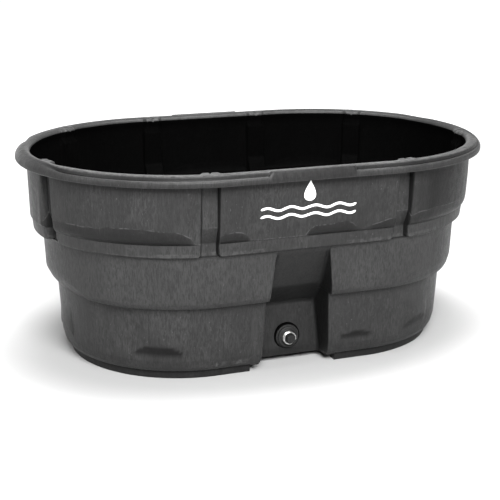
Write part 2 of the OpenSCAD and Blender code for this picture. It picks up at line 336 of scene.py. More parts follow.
def add_level(kind, s, z, d, jacket=False, foot=False):
    levels.append(dict(kind=kind, z=np.broadcast_to(z, (len(s),)).astype(float).copy(),
                       d=np.broadcast_to(d, (len(s),)).astype(float).copy(), jacket=jacket, foot=foot))


s_w = WALL_S
half = CH_W / 2
for i, (d, z) in enumerate(LOWER):
    dd = np.full(NW, float(d))
    zz = np.full(NW, float(z))
    if z > 30:
        dd = dd + low_dents(s_w, z) * (1 if z < 225 else 0)
        if STEP1 - 2 < z < STEP1 + 60:
            dd = dd + mid_end(s_w, z) * smooth((z - STEP1 + 3) / 3)
        if z > STEP2 - 3:
            m = rib_mask(s_w, STEP2 + 1.0, half)
            dd = dd + (channel_d(z) - dd) * m * smooth((z - STEP2 + 3) / 3.0)
    add_level("lower", s_w, zz, dd, foot=z < 27)
for k in K_UP:
    z, d = upper_outer(s_w, k, half)
    zc = np.where(k <= 1, z, np.interp(k, [1, 2, 3], [LOW_LINE, 478, ZR - 4]))
    m = rib_mask(s_w, float(z.mean()) if k <= 1 else 520.0, half)
    z = z + (zc - z) * m
    d = d + (channel_d(z) - d) * m
    add_level("upper", s_w, z, d)
w_end = smooth((np.abs(ring(s_w)[1]) - 0.84) / 0.13)
pad = np.zeros(NW)
for c in (0.0, S + ARC + S):
    pad = np.maximum(pad, smooth((116.5 - np.abs(near(s_w, c))) / 3.0 + 0.5))
pad_p = 1.0      # the pocket's columns lie inside the front pad
saddle = np.zeros(NW)
notch = np.zeros(NW)
for c in RIBS:
    x = near(s_w, c)
    saddle = np.maximum(saddle, smooth((half + 8 - np.abs(x)) / 13.0))
    notch = np.maximum(notch, np.exp(-(x / 3.2) ** 2))


def rim_point(i, w, p, sd, nt):
    a, b = RIM_SIDE[i], RIM_END[i]
    d = a[0] + (b[0] - a[0]) * w
    z = a[1] + (b[1] - a[1]) * w
    if i >= 9:      # outside and top of the roll
        on = p * smooth((d - 1.2) / 2.2) * smooth((24.5 - d) / 2.2) * (i > 11)
        z = z + (H - 0.3 - z) * on
    if i >= 21:     # pillows where a rib runs up into the rim
        q = smooth((i - 20) / 4.0)
        z = z + sd * q * (np.where(i < 27, H - 0.2 - z, np.maximum(H - 4 - (i - 27) * 5.0 - z, -2)) * (0.9 if i < 27 else 0.8))
        d = d + sd * smooth((i - 23) / 5.0) * 13.5
        z = z - nt * sd * 3.5 * smooth((i - 22) / 3.0) * (i < 30)
    return d, z


for i in range(1, len(RIM_SIDE)):
    d, z = rim_point(i, w_end, pad, saddle, notch)
    add_level("rim", s_w, z, d)
    levels[-1]["pad_i"] = i
for k in K_UP[::-1]:
    if k < 0.1 or k > 2.95:
        continue
    z, d = upper_outer(s_w, k, half)
    zc = np.where(k <= 1, z, np.interp(k, [1, 2, 3], [LOW_LINE, 478, ZR - 4]))
    m = rib_mask(s_w, 520.0, half + T, soft=5.0, corner=False)
    z = z + (zc - z) * m
    d = d + T + (channel_d(z) - d) * m
    add_level("inner", s_w, z + (2 if k <= 1.9 else 0), d)
for d, z in INNER_LOWER[1:]:
    dd = np.full(NW, float(d))
    if 60 < z < 220:
        dd = dd + low_dents(s_w, z)
    if z > STEP2:
        m = rib_mask(s_w, 520.0, half + T, soft=5.0, corner=False)
        dd = dd + (channel_d(z) + T - dd) * np.clip(m, 0, 1) * (dd < 78)
    add_level("inner", s_w, z, dd, jacket=True)

# ---------------------------------------------------------------- grid of points
cx, nx, ny = ring(s_w)
spine = np.stack([cx, np.zeros(NW)], -1)
n_half = NP
P = []
for L in levels:
    xy = np.stack([cx + nx * (B - L["d"]), ny * (B - L["d"])], -1)
    z = L["z"].copy()
    if L["foot"]:
        front = (ny < -0.99) & (np.abs(cx) < 137)
        z = np.where(front, 20.0, z)
    z0 = float(L["z"][0]); d0 = float(L["d"][0])
    if L["kind"] == "rim":
        d0, z0 = rim_point(L["pad_i"], 0.0, 1.0, 0.0, 0.0)
        d0, z0 = float(d0), float(z0)
    if L["kind"] in ("upper", "inner") and not L["jacket"]:
        d0, z0 = None, None
    inner = L["kind"] == "inner"
    off = T if inner else 0.0
    hw = float(pocket_half(L["z"][0])) + off
    is_open = (L["kind"] == "lower" and L["z"][0] < STEP2 - 0.6) or (L["jacket"] and L["z"][0] < STEP2 + 4)
    zz0 = L["z"][0]
    yb = float(back_y(min(zz0 - (3.0 if inner else 0.0), 394))) + (off * 1.05 if inner else 0)
    yf = -(B - float(L["d"][0]))
    if L["foot"] and is_open:
        zz0 = 20.0
        hw = float(pocket_half(24.0))
    xs, ys = pocket_path(yf, yb, hw, is_open)
    if d0 is None:      # the upper tier over the pocket keeps the lens shape along x
        kk = L
        zs = np.interp(xs, [0, PK], [0, 0])
        right = np.stack([xs, np.zeros(n_half)], -1)
        L["fill"] = True
        P.append((xy, z, xs, ys, None, None))
        continue
    zs = np.full(n_half, zz0 if L["kind"] != "rim" else z0)
    if L["kind"] == "rim":
        ys = np.full(n_half, -(B - d0))
    P.append((xy, z, xs, ys, zs, zs))

# upper levels over the pocket: evaluate the wall functions at those columns
up_x = pocket_path(-440, -440, float(pocket_half(400)), False)[0]
full_x = np.concatenate([-up_x[::-1], up_x[1:]])
rows = []
i_up = iter(K_UP)
i_in = iter([k for k in K_UP[::-1] if 0.1 <= k <= 2.95])
for L, (xy, z, xs, ys, zr, zl) in zip(levels, P):
    if L.get("fill"):
        k = next(i_up) if L["kind"] == "upper" else next(i_in)
        zz, dd = upper_outer(full_x, k, half)
        if L["kind"] == "inner":
            dd = dd + T
            zz = zz + (2 if k <= 1.9 else 0)
        px, py, pz = full_x, -(B - dd), zz
    else:
        px = np.concatenate([-xs[::-1], xs[1:]])
        py = np.concatenate([ys[::-1], ys[1:]])
        pz = np.concatenate([zr[::-1], zr[1:]])
        if L["kind"] == "lower" and not L["foot"]:
            # the wall beside the pocket is left without the dents of the wall further along
            pass
    # wall columns run PK .. TOTAL-PK; pocket columns fill -PK .. PK (both ends shared)
    row_x = np.concatenate([px[:-1], xy[:-1, 0]])
    row_y = np.concatenate([py[:-1], xy[:-1, 1]])
    row_z = np.concatenate([pz[:-1], z[:-1]])
    rows.append(np.stack([row_x, row_y, row_z], -1))
G = np.array(rows)
NL, NC = G.shape[:2]
pcx = np.clip(np.concatenate([-up_x[::-1], up_x[1:]]), -S, S)[:-1]
spine_x = np.concatenate([pcx, cx[:-1]])
spine_pts = np.stack([spine_x, np.zeros(NC)], -1)


def floor_rings(edge, z, ts):
    out = []
    for t in ts:
        xy = edge[:, :2] * (1 - t) + spine_pts * t
        out.append(np.concatenate([xy, np.full((NC, 1), z)], 1))
    return out


under = floor_rings(G[0], 20.0, [1.0, 0.9, 0.7, 0.5, 0.3, 0.12])
top = floor_rings(G[-1], 26.5, [0.06, 0.15, 0.3, 0.5, 0.7, 0.9, 1.0])
G = np.concatenate([np.array(under), G, np.array(top)])
kinds = ["floor"] * len(under) + [L["kind"] for L in levels] + ["inner"] * len(top)
NL = len(G)

G[:, :, 0] = np.clip(G[:, :, 0], -736.25, 736.25)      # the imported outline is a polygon, a little short of the arc
verts = G.reshape(-1, 3)
quads = []
idx = np.arange(NL * NC).reshape(NL, NC)
a = idx[:-1]; b = idx[1:]
q = np.stack([a, np.roll(a, -1, 1), np.roll(b, -1, 1), b], -1).reshape(-1, 4)
# the drain passes through the wall inside the boss
c4 = verts[q].mean(1)
hole = (np.hypot(c4[:, 0], c4[:, 2] - DRAIN_Z) < 33) & (c4[:, 1] < -250) & (c4[:, 1] > -330)
q = q[~hole]


def new_mesh(name, v, f, smooth_angle=38.0, scale=0.001):
    me = bpy.data.meshes.new(name)
    v = np.asarray(v, float) * scale
    f = [tuple(int(i) for i in x) for x in f]
    me.from_pydata([tuple(x) for x in v], [], f)
    me.validate(clean_customdata=False)
    me.update()
    ob = bpy.data.objects.new(name, me)
    bpy.context.scene.collection.objects.link(ob)
    for p in me.polygons:
        p.use_smooth = True
    me.set_sharp_from_angle(angle=math.radians(smooth_angle))
    return ob


# ---------------------------------------------------------------- lathe pieces about the drain axis
def lathe_y(profile, n=96, closed=True, cxz=(0.0, DRAIN_Z)):
    """Revolves [(radius, y)] about the drain axis."""
    pr = np.array(profile, float)
    m = len(pr)
    t = np.linspace(0, 2 * np.pi, n, endpoint=False)
    v = np.stack([np.outer(pr[:, 0], np.cos(t)) + cxz[0], np.repeat(pr[:, 1][:, None], n, 1),
                  np.outer(pr[:, 0], np.sin(t)) + cxz[1]], -1).reshape(-1, 3)
    ix = np.arange(m * n).reshape(m, n)
    f = []
    for i in range(m if closed else m - 1):
        j = (i + 1) % m
        for k in range(n):
            l = (k + 1) % n
            f.append((ix[i, k], ix[i, l], ix[j, l], ix[j, k]))
    return v, f


def bevel_profile(pts, r=0.6, n=3):
    """Closed profile with its corners rounded."""
    out = []
    m = len(pts)
    for i in range(m):
        rr = pts[i][2] if len(pts[i]) > 2 else r
        p0, p1, p2 = pts[i - 1][:2], pts[i][:2], pts[(i + 1) % m][:2]
        out += arc(p0, p1, p2, rr, n) if rr > 0 else [tuple(p1)]
    return out


boss_v, boss_f = lathe_y(bevel_profile([(24.3, DRAIN_Y), (24.3, DRAIN_Y + 22), (41, DRAIN_Y + 22, 3), (41, DRAIN_Y, 2.5)], 0.5), 96)
nv = len(verts)
all_v = np.concatenate([verts, boss_v])
all_f = [tuple(x) for x in q] + [tuple(i + nv for i in x) for x in boss_f]
tank = new_mesh("tank_moulding", all_v, all_f, 50.0)
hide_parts("tank_shell")
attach(tank, "tank")

# painted shade: how much each point is darkened, in hollows, the lens chamfers, channel walls and floors, the drain
# pocket, the foot, under the steps and eyebrows, on the rim and round the right end
painted_shade = np.zeros((NL, NC))
n_under = len(under)
n_pk = 2 * NP - 2
i_up2 = iter(K_UP)
col_s = np.concatenate([full_x[:-1], s_w[:-1]])
for li, L in enumerate(levels):
    r_ = li + n_under
    zrow = G[r_, :, 2]
    if L["kind"] == "upper":
        k = next(i_up2)
        # painted shade: the lens chamfers darken towards their lower line
        if 1.0 <= k <= 2.0:
            u_ = 2 - k
            hh = lens_height(col_s)
            painted_shade[r_] = (0.60 + 0.38 * u_ ** 1.1) * smooth((hh - 5) / 12.0)
            if k == 1.0:
                painted_shade[r_] *= 0.9
        # painted shade: the upper tier panels, and more so round the right end
        if k > 2.0:
            right_end_painted_shade = smooth((near(col_s, 560) + 250) / 120.0) * smooth((1190 - col_s) / 300.0) * (col_s > 0)
            painted_shade[r_] = 0.12 + 0.80 * right_end_painted_shade
        # painted shade: the top rows under the rim's overhang
        if k > 2.9:
            painted_shade[r_] = 0.45
    if L["kind"] in ("upper", "lower") and L["z"][0] > STEP2 - 1:
        # painted shade: the channel walls, and the channel floors below the arris
        for c in RIBS:
            dist = np.abs(near(col_s, c))
            side = smooth((dist - 20.5) / 3.0) * smooth((29.5 - dist) / 3.0)
            if abs(c - at_angle(-1, 197)) < 1:      # its rear wall faces the front and gets no painted shade
                side = side * smooth((near(col_s, c) + 8) / 16.0)
            painted_shade[r_] = np.maximum(painted_shade[r_], 0.95 * side)
            floor_ = smooth((22 - dist) / 2.0) * np.interp(zrow, [425, 432, 470, 480], [0.0, 0.55, 0.25, 0.05])
            painted_shade[r_] = np.where(dist < 22, floor_, painted_shade[r_])
    if L["kind"] == "rim":
        # painted shade: the rim's groove and riser, and its skirt under the pads
        painted_shade[r_] = np.interp(L["pad_i"], [9, 10, 12, 14, 16, 17, 20, 21.2, 22], [0.30, 0.12, 0.0, 0.0, 0.2, 0.62, 0.62, 0.15, 0.0])
        if 9 <= L["pad_i"] <= 20:
            painted_shade[r_] = np.maximum(painted_shade[r_], 0.5 * np.concatenate([np.ones(n_pk), pad[:-1]]))
    if L["kind"] == "lower":
        yf_ = -(B - float(L["d"][0]))
        depth_ = G[r_, :n_pk, 1] - yf_
        xk = np.abs(G[r_, :n_pk, 0])
        z0_ = float(L["z"][0])
        hw_ = float(pocket_half(z0_))
        # painted shade: inside the drain pocket, darkest on its side walls
        if z0_ < STEP2 - 0.6:
            back_part = np.interp(z0_, [0, 30, 60, 150, 178, 186, 246, 256, 392], [0.75, 0.55, 0.5, 0.5, 0.5, 0.84, 0.84, 0.48, 0.48])
            side_part = smooth((xk - hw_ + 14) / 4.0)
            inside_pk = smooth((depth_ - 3.0) / 4.0)
            painted_shade[r_, :n_pk] = np.maximum(painted_shade[r_, :n_pk], inside_pk * (back_part + (0.97 - back_part) * side_part))
        # painted shade: the middle tier round the right end
        if z0_ > STEP1 + 1:
            painted_shade[r_] = np.maximum(painted_shade[r_], 0.40 * smooth((near(col_s, 560) + 130) / 120.0) * smooth((1190 - col_s) / 300.0) * (col_s > 0))
        # painted shade: the foot, and the rows just under the two steps
        if z0_ < 27:
            painted_shade[r_] = np.maximum(painted_shade[r_], 0.62)
        if STEP2 - 4 < z0_ < STEP2 + 1 or STEP1 - 6 < z0_ < STEP1 + 0.5:
            painted_shade[r_] = np.maximum(painted_shade[r_], 0.6)
        # painted shade: under the eyebrows of the lowest tier
        for c, w, top_ in BROWS:
            x_ = near(col_s, c) / w
            on_ = np.sqrt(np.clip(1 - x_ * x_, 0, 1))
            arch_ = 82 + (top_ - 82) * on_
            painted_shade[r_, n_pk:] = np.maximum(painted_shade[r_], 0.9 * smooth((arch_ - z0_ + 1) / 3.0) * smooth((z0_ - 79) / 2.0) * (on_ > 0.05))[n_pk:]

# how worn each point of the wall is, with painted highlights added on the lens arris and the front rim bead, and
# whether it is inside
wear_and_highlight = np.zeros(len(all_v))
inside = np.zeros(len(all_v))
kind_arr = np.array(kinds)
wall_wear_and_highlight = np.zeros((NL, NC))
k_index = -1
for i in range(NL):
    if kind_arr[i] == "upper":
        k_index += 1
        # painted highlight: a wavy pale line along the arris at the top of the lens
        if k_index < len(K_UP) and abs(K_UP[k_index] - 2.0) < 0.001:
            sp = np.arange(NC) * 1.0
            wall_wear_and_highlight[i] = 0.55 + 0.45 * np.sin(sp * 0.61 + 2.0 * np.sin(sp * 0.13))
facing = np.concatenate([np.ones(n_pk), smooth((0.15 - ny[:-1]) / 0.7)])
for i in range(NL):      # the top of the rim is rubbed along the front: scuffs, and a painted highlight on the near bead
    if kind_arr[i] == "rim":
        wall_wear_and_highlight[i] = facing * float(np.interp(levels[i - n_under]["pad_i"], [20, 21.5, 23, 25.5, 27], [0.0, 0.62, 0.75, 0.45, 0.0]))
for i in range(NL):      # a short scrape low down beside the pocket
    if kind_arr[i] == "lower" and 38 < G[i, 0, 2] < 52:
        wall_wear_and_highlight[i] = 0.9 * smooth((62 - np.abs(near(col_s, -205))) / 20.0) * (0.5 + 0.5 * np.sin(np.arange(NC) * 0.9))
inside_grid = np.repeat((kind_arr == "inner")[:, None].astype(float), NC, 1)
wear_and_highlight[:nv] = wall_wear_and_highlight.reshape(-1)
inside[:nv] = inside_grid.reshape(-1)
# painted shade: a fixed amount on the drain boss
painted_shade_v = np.full(len(all_v), 0.3)
painted_shade_v[:nv] = painted_shade.reshape(-1)
for nm, arr in (("wear_and_highlight", wear_and_highlight), ("inside", inside), ("painted_shade", painted_shade_v)):
    at = tank.data.attributes.new(nm, "FLOAT", "POINT")
    at.data.foreach_set("value", arr.astype(np.float32))


# ---------------------------------------------------------------- materials
class Nodes:
    """Small helper that builds a node tree."""

    def __init__(self, name):
        self.m = bpy.data.materials.new(name)
        self.m.use_nodes = True
        self.t = self.m.node_tree
        self.bsdf = self.t.nodes["Principled BSDF"]

    def new(self, kind, **settings):
        n = self.t.nodes.new(kind)
        for k, v in settings.items():
            setattr(n, k, v)
        return n

    def link(self, a, b):
        self.t.links.new(a, b)

    def coords(self, scale):
        tc = self.new("ShaderNodeTexCoord")
        mp = self.new("ShaderNodeMapping")
        mp.inputs["Scale"].default_value = scale
        self.link(tc.outputs["Object"], mp.inputs["Vector"])
        return mp.outputs["Vector"]

    def noise(self, scale, detail=4.0, rough=0.55, size=1.0, distortion=0.0):
        n = self.new("ShaderNodeTexNoise")
        n.inputs["Scale"].default_value = size
        n.inputs["Detail"].default_value = detail
        n.inputs["Roughness"].default_value = rough
        n.inputs["Distortion"].default_value = distortion
        self.link(self.coords(scale), n.inputs["Vector"])
        return n.outputs["Fac"]

    def ramp(self, fac, lo, hi, a=0.0, b=1.0):
        r = self.new("ShaderNodeMapRange")
        r.interpolation_type = "SMOOTHSTEP"
        r.inputs["From Min"].default_value = lo
        r.inputs["From Max"].default_value = hi
        r.inputs["To Min"].default_value = a
        r.inputs["To Max"].default_value = b
        self.link(fac, r.inputs["Value"])
        return r.outputs["Result"]

    def math(self, op, a, b=None):
        n = self.new("ShaderNodeMath", operation=op)
        for i, v in enumerate((a, b)):
            if v is None:
                continue
            if isinstance(v, (int, float)):
                n.inputs[i].default_value = v
            else:
                self.link(v, n.inputs[i])
        return n.outputs[0]

    def mix(self, fac, a, b):
        n = self.new("ShaderNodeMix", data_type="RGBA")
        ins = {"f": n.inputs[0], "a": n.inputs[6], "b": n.inputs[7]}
        for k, v in (("f", fac), ("a", a), ("b", b)):
            if isinstance(v, (int, float)):
                ins[k].default_value = v
            elif isinstance(v, tuple):
                ins[k].default_value = v
            else:
                self.link(v, ins[k])
        return n.outputs[2]

    def attribute(self, name):
        n = self.new("ShaderNodeAttribute", attribute_name=name)
        return n.outputs["Fac"]

    def bump(self, height, strength, distance, normal=None):
        n = self.new("ShaderNodeBump")
        n.inputs["Strength"].default_value = strength
        n.inputs["Distance"].default_value = distance
        self.link(height, n.inputs["Height"])
        if normal is not None:
            self.link(normal, n.inputs["Normal"])
        return n.outputs["Normal"]


def grey(v, warm=0.0):
    return (v * (1 + warm), v, v * (1 - warm), 1.0)


def tank_plastic(name, inner=False):
    """Charcoal rotomoulded plastic: short upright flecks, swirls, scuffed edges, painted shade in hollows and creases,
    painted highlights on the lens arris and the front rim bead, and paler flecks lifting the middle tier as painted
    light; the inside copy is far darker, as painted shade, without those marks.
    """
    n = Nodes(name)
    # the inside copy is far darker: painted shade for the tank's interior
    k = 0.018 if inner else 0.57
    fleck = n.noise((250.0, 250.0, 52.0), 5.0, 0.68, distortion=0.45)
    swirl = n.noise((46.0, 46.0, 24.0), 6.0, 0.68, distortion=1.8)
    streak = n.noise((120.0, 120.0, 14.0), 5.0, 0.6, distortion=0.2)
    cloud = n.noise((5.5, 5.5, 4.5), 4.0, 0.55)
    grain = n.noise((1200.0, 1200.0, 1200.0), 2.0, 0.5)
    patch = n.ramp(n.noise((9.0, 9.0, 6.0), 4.0, 0.6), 0.36, 0.62, 0.40, 1.0)
    base = n.mix(n.math("MULTIPLY", n.ramp(fleck, 0.36, 0.66), patch), grey(0.027 * k), grey(0.058 * k))
    base = n.mix(n.ramp(streak, 0.45, 0.70, 0.0, 0.35), base, grey(0.062 * k))
    base = n.mix(n.ramp(cloud, 0.36, 0.64, 0.0, 0.42), base, grey(0.027 * k))
    base = n.mix(n.ramp(swirl, 0.55, 0.68, 0.0, 0.42), base, grey(0.072 * k))
    base = n.mix(n.ramp(n.noise((210.0, 210.0, 95.0), 4.0, 0.7), 0.64, 0.72, 0.0, 0.55), base, grey(0.016 * k))
    base = n.mix(n.ramp(n.noise((260.0, 260.0, 80.0), 3.0, 0.6, size=1.07), 0.665, 0.74, 0.0, 0.7), base, grey(0.135 * k))
    if not inner:
        tc = n.new("ShaderNodeTexCoord")
        sep = n.new("ShaderNodeSeparateXYZ")
        n.link(tc.outputs["Object"], sep.inputs[0])
        zz_ = sep.outputs["Z"]
        # painted light: paler flecks between the two steps lift the middle tier's tone
        mid_tier_painted_light = n.math("MULTIPLY", n.ramp(zz_, 0.225, 0.245), n.ramp(zz_, 0.388, 0.396, 1.0, 0.0))
        base = n.mix(n.math("MULTIPLY", mid_tier_painted_light, n.ramp(fleck, 0.40, 0.62, 0.10, 0.55)), base, grey(0.060 * k))
        geo = n.new("ShaderNodeNewGeometry")
        edge = n.ramp(geo.outputs["Pointiness"], 0.512, 0.56)
        scuff = n.math("MULTIPLY", edge, n.ramp(n.noise((70.0, 70.0, 70.0), 5.0, 0.65), 0.42, 0.62, 0.0, 0.55))
        base = n.mix(scuff, base, grey(0.052))
        # painted shade: the colour goes near black where the per-point shade attribute is high
        base = n.mix(n.math("MULTIPLY", n.attribute("painted_shade"), 0.90), base, grey(0.0035))
        # painted shade: concave creases, found by low pointiness, are darkened
        crease_painted_shade = n.ramp(geo.outputs["Pointiness"], 0.455, 0.490, 0.75, 0.0)
        base = n.mix(crease_painted_shade, base, grey(0.004))
        # wear and painted highlight: paler noise on the low scrape, and painted highlights on the lens arris and the
        # front rim bead
        line = n.math("MULTIPLY", n.attribute("wear_and_highlight"), n.ramp(n.noise((60.0, 60.0, 60.0), 5.0, 0.7), 0.38, 0.60, 0.0, 0.7))
        base = n.mix(line, base, grey(0.088))
    n.link(base, n.bsdf.inputs["Base Color"])
    if inner:
        n.link(n.ramp(streak, 0.3, 0.7, 0.72, 0.84), n.bsdf.inputs["Roughness"])
        n.bsdf.inputs["Specular IOR Level"].default_value = 0.014
    else:
        n.link(n.ramp(swirl, 0.3, 0.7, 0.36, 0.50), n.bsdf.inputs["Roughness"])
        n.bsdf.inputs["Specular IOR Level"].default_value = 0.13
    nrm = n.bump(streak, 0.20, 0.0012)
    nrm = n.bump(fleck, 0.42, 0.0009, nrm)
    nrm = n.bump(grain, 0.10, 0.0002, nrm)
    nrm = n.bump(cloud, 0.35, 0.012, nrm)
    n.link(nrm, n.bsdf.inputs["Normal"])
    return n.m


def dark_plastic(name, value, rough=0.38, bump=0.15):
    n = Nodes(name)
    fine = n.noise((700.0, 700.0, 700.0), 3.0, 0.5)
    big = n.noise((60.0, 60.0, 60.0), 4.0, 0.6)
    base = n.mix(n.ramp(big, 0.3, 0.7), grey(value * 0.8), grey(value * 1.25))
    geo = n.new("ShaderNodeNewGeometry")
    edge = n.ramp(geo.outputs["Pointiness"], 0.52, 0.60, 0.0, 0.6)
    base = n.mix(n.math("MULTIPLY", edge, n.ramp(big, 0.35, 0.6)), base, grey(value * 3.2))
    n.link(base, n.bsdf.inputs["Base Color"])
    n.bsdf.inputs["Specular IOR Level"].default_value = 0.22
    n.link(n.ramp(big, 0.3, 0.7, rough - 0.06, rough + 0.1), n.bsdf.inputs["Roughness"])
    n.link(n.bump(fine, bump, 0.0002), n.bsdf.inputs["Normal"])
    return n.m


def rubber():
    n = Nodes("gasket_rubber_aged")
    fine = n.noise((1100.0, 1100.0, 1100.0), 3.0, 0.6)
    dust = n.noise((120.0, 120.0, 120.0), 5.0, 0.7)
    base = n.mix(n.ramp(dust, 0.45, 0.75, 0.0, 0.6), grey(0.012), grey(0.045, 0.04))
    n.link(base, n.bsdf.inputs["Base Color"])
    n.link(n.ramp(dust, 0.3, 0.7, 0.72, 0.88), n.bsdf.inputs["Roughness"])
    n.bsdf.inputs["Specular IOR Level"].default_value = 0.3
    n.link(n.bump(fine, 0.3, 0.0003), n.bsdf.inputs["Normal"])
    return n.m


def bright_metal():
    n = Nodes("bright_metal_turned")
    lathe = n.noise((40.0, 1800.0, 40.0), 2.0, 0.5)
    stain = n.noise((90.0, 90.0, 90.0), 5.0, 0.65)
    base = n.mix(n.ramp(stain, 0.55, 0.75, 0.0, 0.5), (0.86, 0.86, 0.84, 1), (0.52, 0.50, 0.46, 1))
    n.link(base, n.bsdf.inputs["Base Color"])
    n.bsdf.inputs["Metallic"].default_value = 1.0
    n.link(n.ramp(stain, 0.3, 0.75, 0.26, 0.48), n.bsdf.inputs["Roughness"])
    n.link(n.bump(lathe, 0.15, 0.0002), n.bsdf.inputs["Normal"])
    return n.m


def ink():
    n = Nodes("printed_white")
    wear_ = n.noise((160.0, 160.0, 90.0), 5.0, 0.7)
    base = n.mix(n.ramp(wear_, 0.62, 0.76, 0.0, 0.55), (0.86, 0.86, 0.85, 1), (0.25, 0.25, 0.25, 1))
    n.link(base, n.bsdf.inputs["Base Color"])
    n.link(n.ramp(wear_, 0.3, 0.7, 0.45, 0.65), n.bsdf.inputs["Roughness"])
    n.link(n.bump(n.noise((500.0, 500.0, 60.0), 3.0, 0.6), 0.12, 0.0003), n.bsdf.inputs["Normal"])
    return n.m


def washer_mat():
    n = Nodes("washer_nylon")
    a_ = n.noise((140.0, 140.0, 140.0), 4.0, 0.6)
    base = n.mix(n.ramp(a_, 0.35, 0.7), (0.62, 0.61, 0.56, 1), (0.74, 0.73, 0.68, 1))
    n.link(base, n.bsdf.inputs["Base Color"])
    n.link(n.ramp(a_, 0.3, 0.7, 0.4, 0.55), n.bsdf.inputs["Roughness"])
    n.bsdf.inputs["Subsurface Weight"].default_value = 0.1
    n.bsdf.inputs["Subsurface Radius"].default_value = (0.002, 0.002, 0.0015)
    n.link(n.bump(a_, 0.1, 0.0003), n.bsdf.inputs["Normal"])
    return n.m


M_TANK, M_INSIDE_PAINTED_SHADE = tank_plastic("tank_plastic_moulded"), tank_plastic("tank_plastic_inside_painted_shade", True)
M_RUBBER, M_METAL, M_INK, M_WASHER = rubber(), bright_metal(), ink(), washer_mat()
M_FIT = dark_plastic("fitting_plastic_moulded", 0.011, 0.46)
M_PLUG = dark_plastic("plug_plastic_moulded", 0.009, 0.44)
tank.data.materials.append(M_TANK)
tank.data.materials.append(M_INSIDE_PAINTED_SHADE)
face_row = np.repeat(np.arange(NL - 1), NC)[~hole]
row_inside = (kind_arr[:-1] == "inner") | (kind_arr[1:] == "inner")
rim_rows = np.nonzero(kind_arr == "rim")[0]
# the inner part of the rim takes the darkened inside material too: painted shade
row_inside[rim_rows[27]:rim_rows[-1] + 1] = True
mat_ix = np.concatenate([row_inside[face_row].astype(np.int32), np.ones(len(boss_f), np.int32)])
tank.data.polygons.foreach_set("material_index", mat_ix)


# ---------------------------------------------------------------- printed drop over two waves, laid on the wall
def wall_y(x, z):
    """Outside of the front wall of the upper tier at x, z."""
    x, z = np.asarray(x, float), np.asarray(z, float)
    zs_, ds_ = [], []
    for k in K_UP:
        zk, dk = upper_outer(x, k, half)
        zs_.append(zk); ds_.append(dk)
    zs_, ds_ = np.array(zs_), np.array(ds_)
    out = np.empty(len(x))
    for i in range(len(x)):
        out[i] = -(B - np.interp(z[i], zs_[:, i], ds_[:, i]))
    return out


def film(gx, gz, wrap=False):
    """Closed thin skin over a grid of x, z points; the rows join up if wrap is set."""
    m, n_ = gx.shape
    yw = wall_y(gx.reshape(-1), gz.reshape(-1)).reshape(m, n_)
    front = np.stack([gx, yw - 0.42, gz], -1)
    rear = np.stack([gx, yw + 0.25, gz], -1)
    v_ = np.concatenate([front.reshape(-1, 3), rear.reshape(-1, 3)])
    ix = np.arange(m * n_).reshape(m, n_)
    o = m * n_
    f_ = []
    rows_n = m if wrap else m - 1
    for i in range(rows_n):
        j = (i + 1) % m
        for k in range(n_ - 1):
            f_.append((ix[i, k], ix[i, k + 1], ix[j, k + 1], ix[j, k]))
            f_.append((o + ix[i, k], o + ix[j, k], o + ix[j, k + 1], o + ix[i, k + 1]))
        f_.append((ix[i, 0], ix[j, 0], o + ix[j, 0], o + ix[i, 0]))
        f_.append((ix[i, -1], o + ix[i, -1], o + ix[j, -1], ix[j, -1]))
    if not wrap:
        for k in range(n_ - 1):
            f_.append((ix[0, k], o + ix[0, k], o + ix[0, k + 1], ix[0, k + 1]))
            f_.append((ix[-1, k], ix[-1, k + 1], o + ix[-1, k + 1], o + ix[-1, k]))
    return v_, f_


MARK_W, MARK_Z, MARK_LINE = 290.0, 532.0, 7.0
mv, mf = [], []
mark_n = 0
for row_z in (-14.0, -37.0):
    u_ = np.linspace(-1, 1, 161)
    xc = u_ * MARK_W / 2
    ph = u_ * 4 * np.pi
    zc_ = 4.6 * np.sin(ph)
    slope = 4.6 * np.cos(ph) * 4 * np.pi / (MARK_W / 2)
    nxp, nzp = -slope / np.hypot(1, slope), 1 / np.hypot(1, slope)
    wd = MARK_LINE / 2 * np.clip(np.minimum(u_ + 1, 1 - u_) * 26, 0, 1) ** 0.5
    wd = np.maximum(wd, 0.35)
    across = np.linspace(-1, 1, 5)
    gx = xc[:, None] + nxp[:, None] * wd[:, None] * across[None]
    gz = MARK_Z + row_z + zc_[:, None] + nzp[:, None] * wd[:, None] * across[None]
    v_, f_ = film(gx, gz)
    mv.append(v_); mf += [tuple(i + mark_n for i in q_) for q_ in f_]
    mark_n += len(v_)
tt = np.linspace(0, 2 * np.pi, 72, endpoint=False)
tip = np.clip(np.cos(tt - np.pi / 2), 0, 1)
rad_x = 17.0 * np.sin(np.clip(np.abs((tt - np.pi / 2 + np.pi) % (2 * np.pi) - np.pi), 0, np.pi)) ** 1.0
pts = []
for a_ in tt:
    b_ = abs((a_ - np.pi / 2 + np.pi) % (2 * np.pi) - np.pi)      # 0 at the tip, pi at the bottom
    h_ = 44.0 - 61.0 * (1 - math.cos(b_)) / 2
    w_ = 17.0 * math.sin(b_) * (0.5 * (1 - math.cos(b_))) ** 0.75 * 1.42
    sgn = -1 if ((a_ - np.pi / 2 + np.pi) % (2 * np.pi) - np.pi) > 0 else 1
    pts.append((sgn * w_, h_))
pts = np.array(pts)
lvl = np.array([1.0, 0.8, 0.6, 0.4, 0.2, 0.04])
gx = pts[:, 0][:, None] * lvl[None]
gz = MARK_Z + 21 + (pts[:, 1][:, None] - 4) * lvl[None] + 4
v_, f_ = film(gx, gz, wrap=True)
nfr = len(gx) * len(lvl)
mv.append(v_); mf += [tuple(i + mark_n for i in q_) for q_ in f_]
mark = new_mesh("printed_mark", np.concatenate(mv), mf, 60.0)
mark.data.materials.append(M_INK)
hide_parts("water_mark")
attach(mark, "tank")

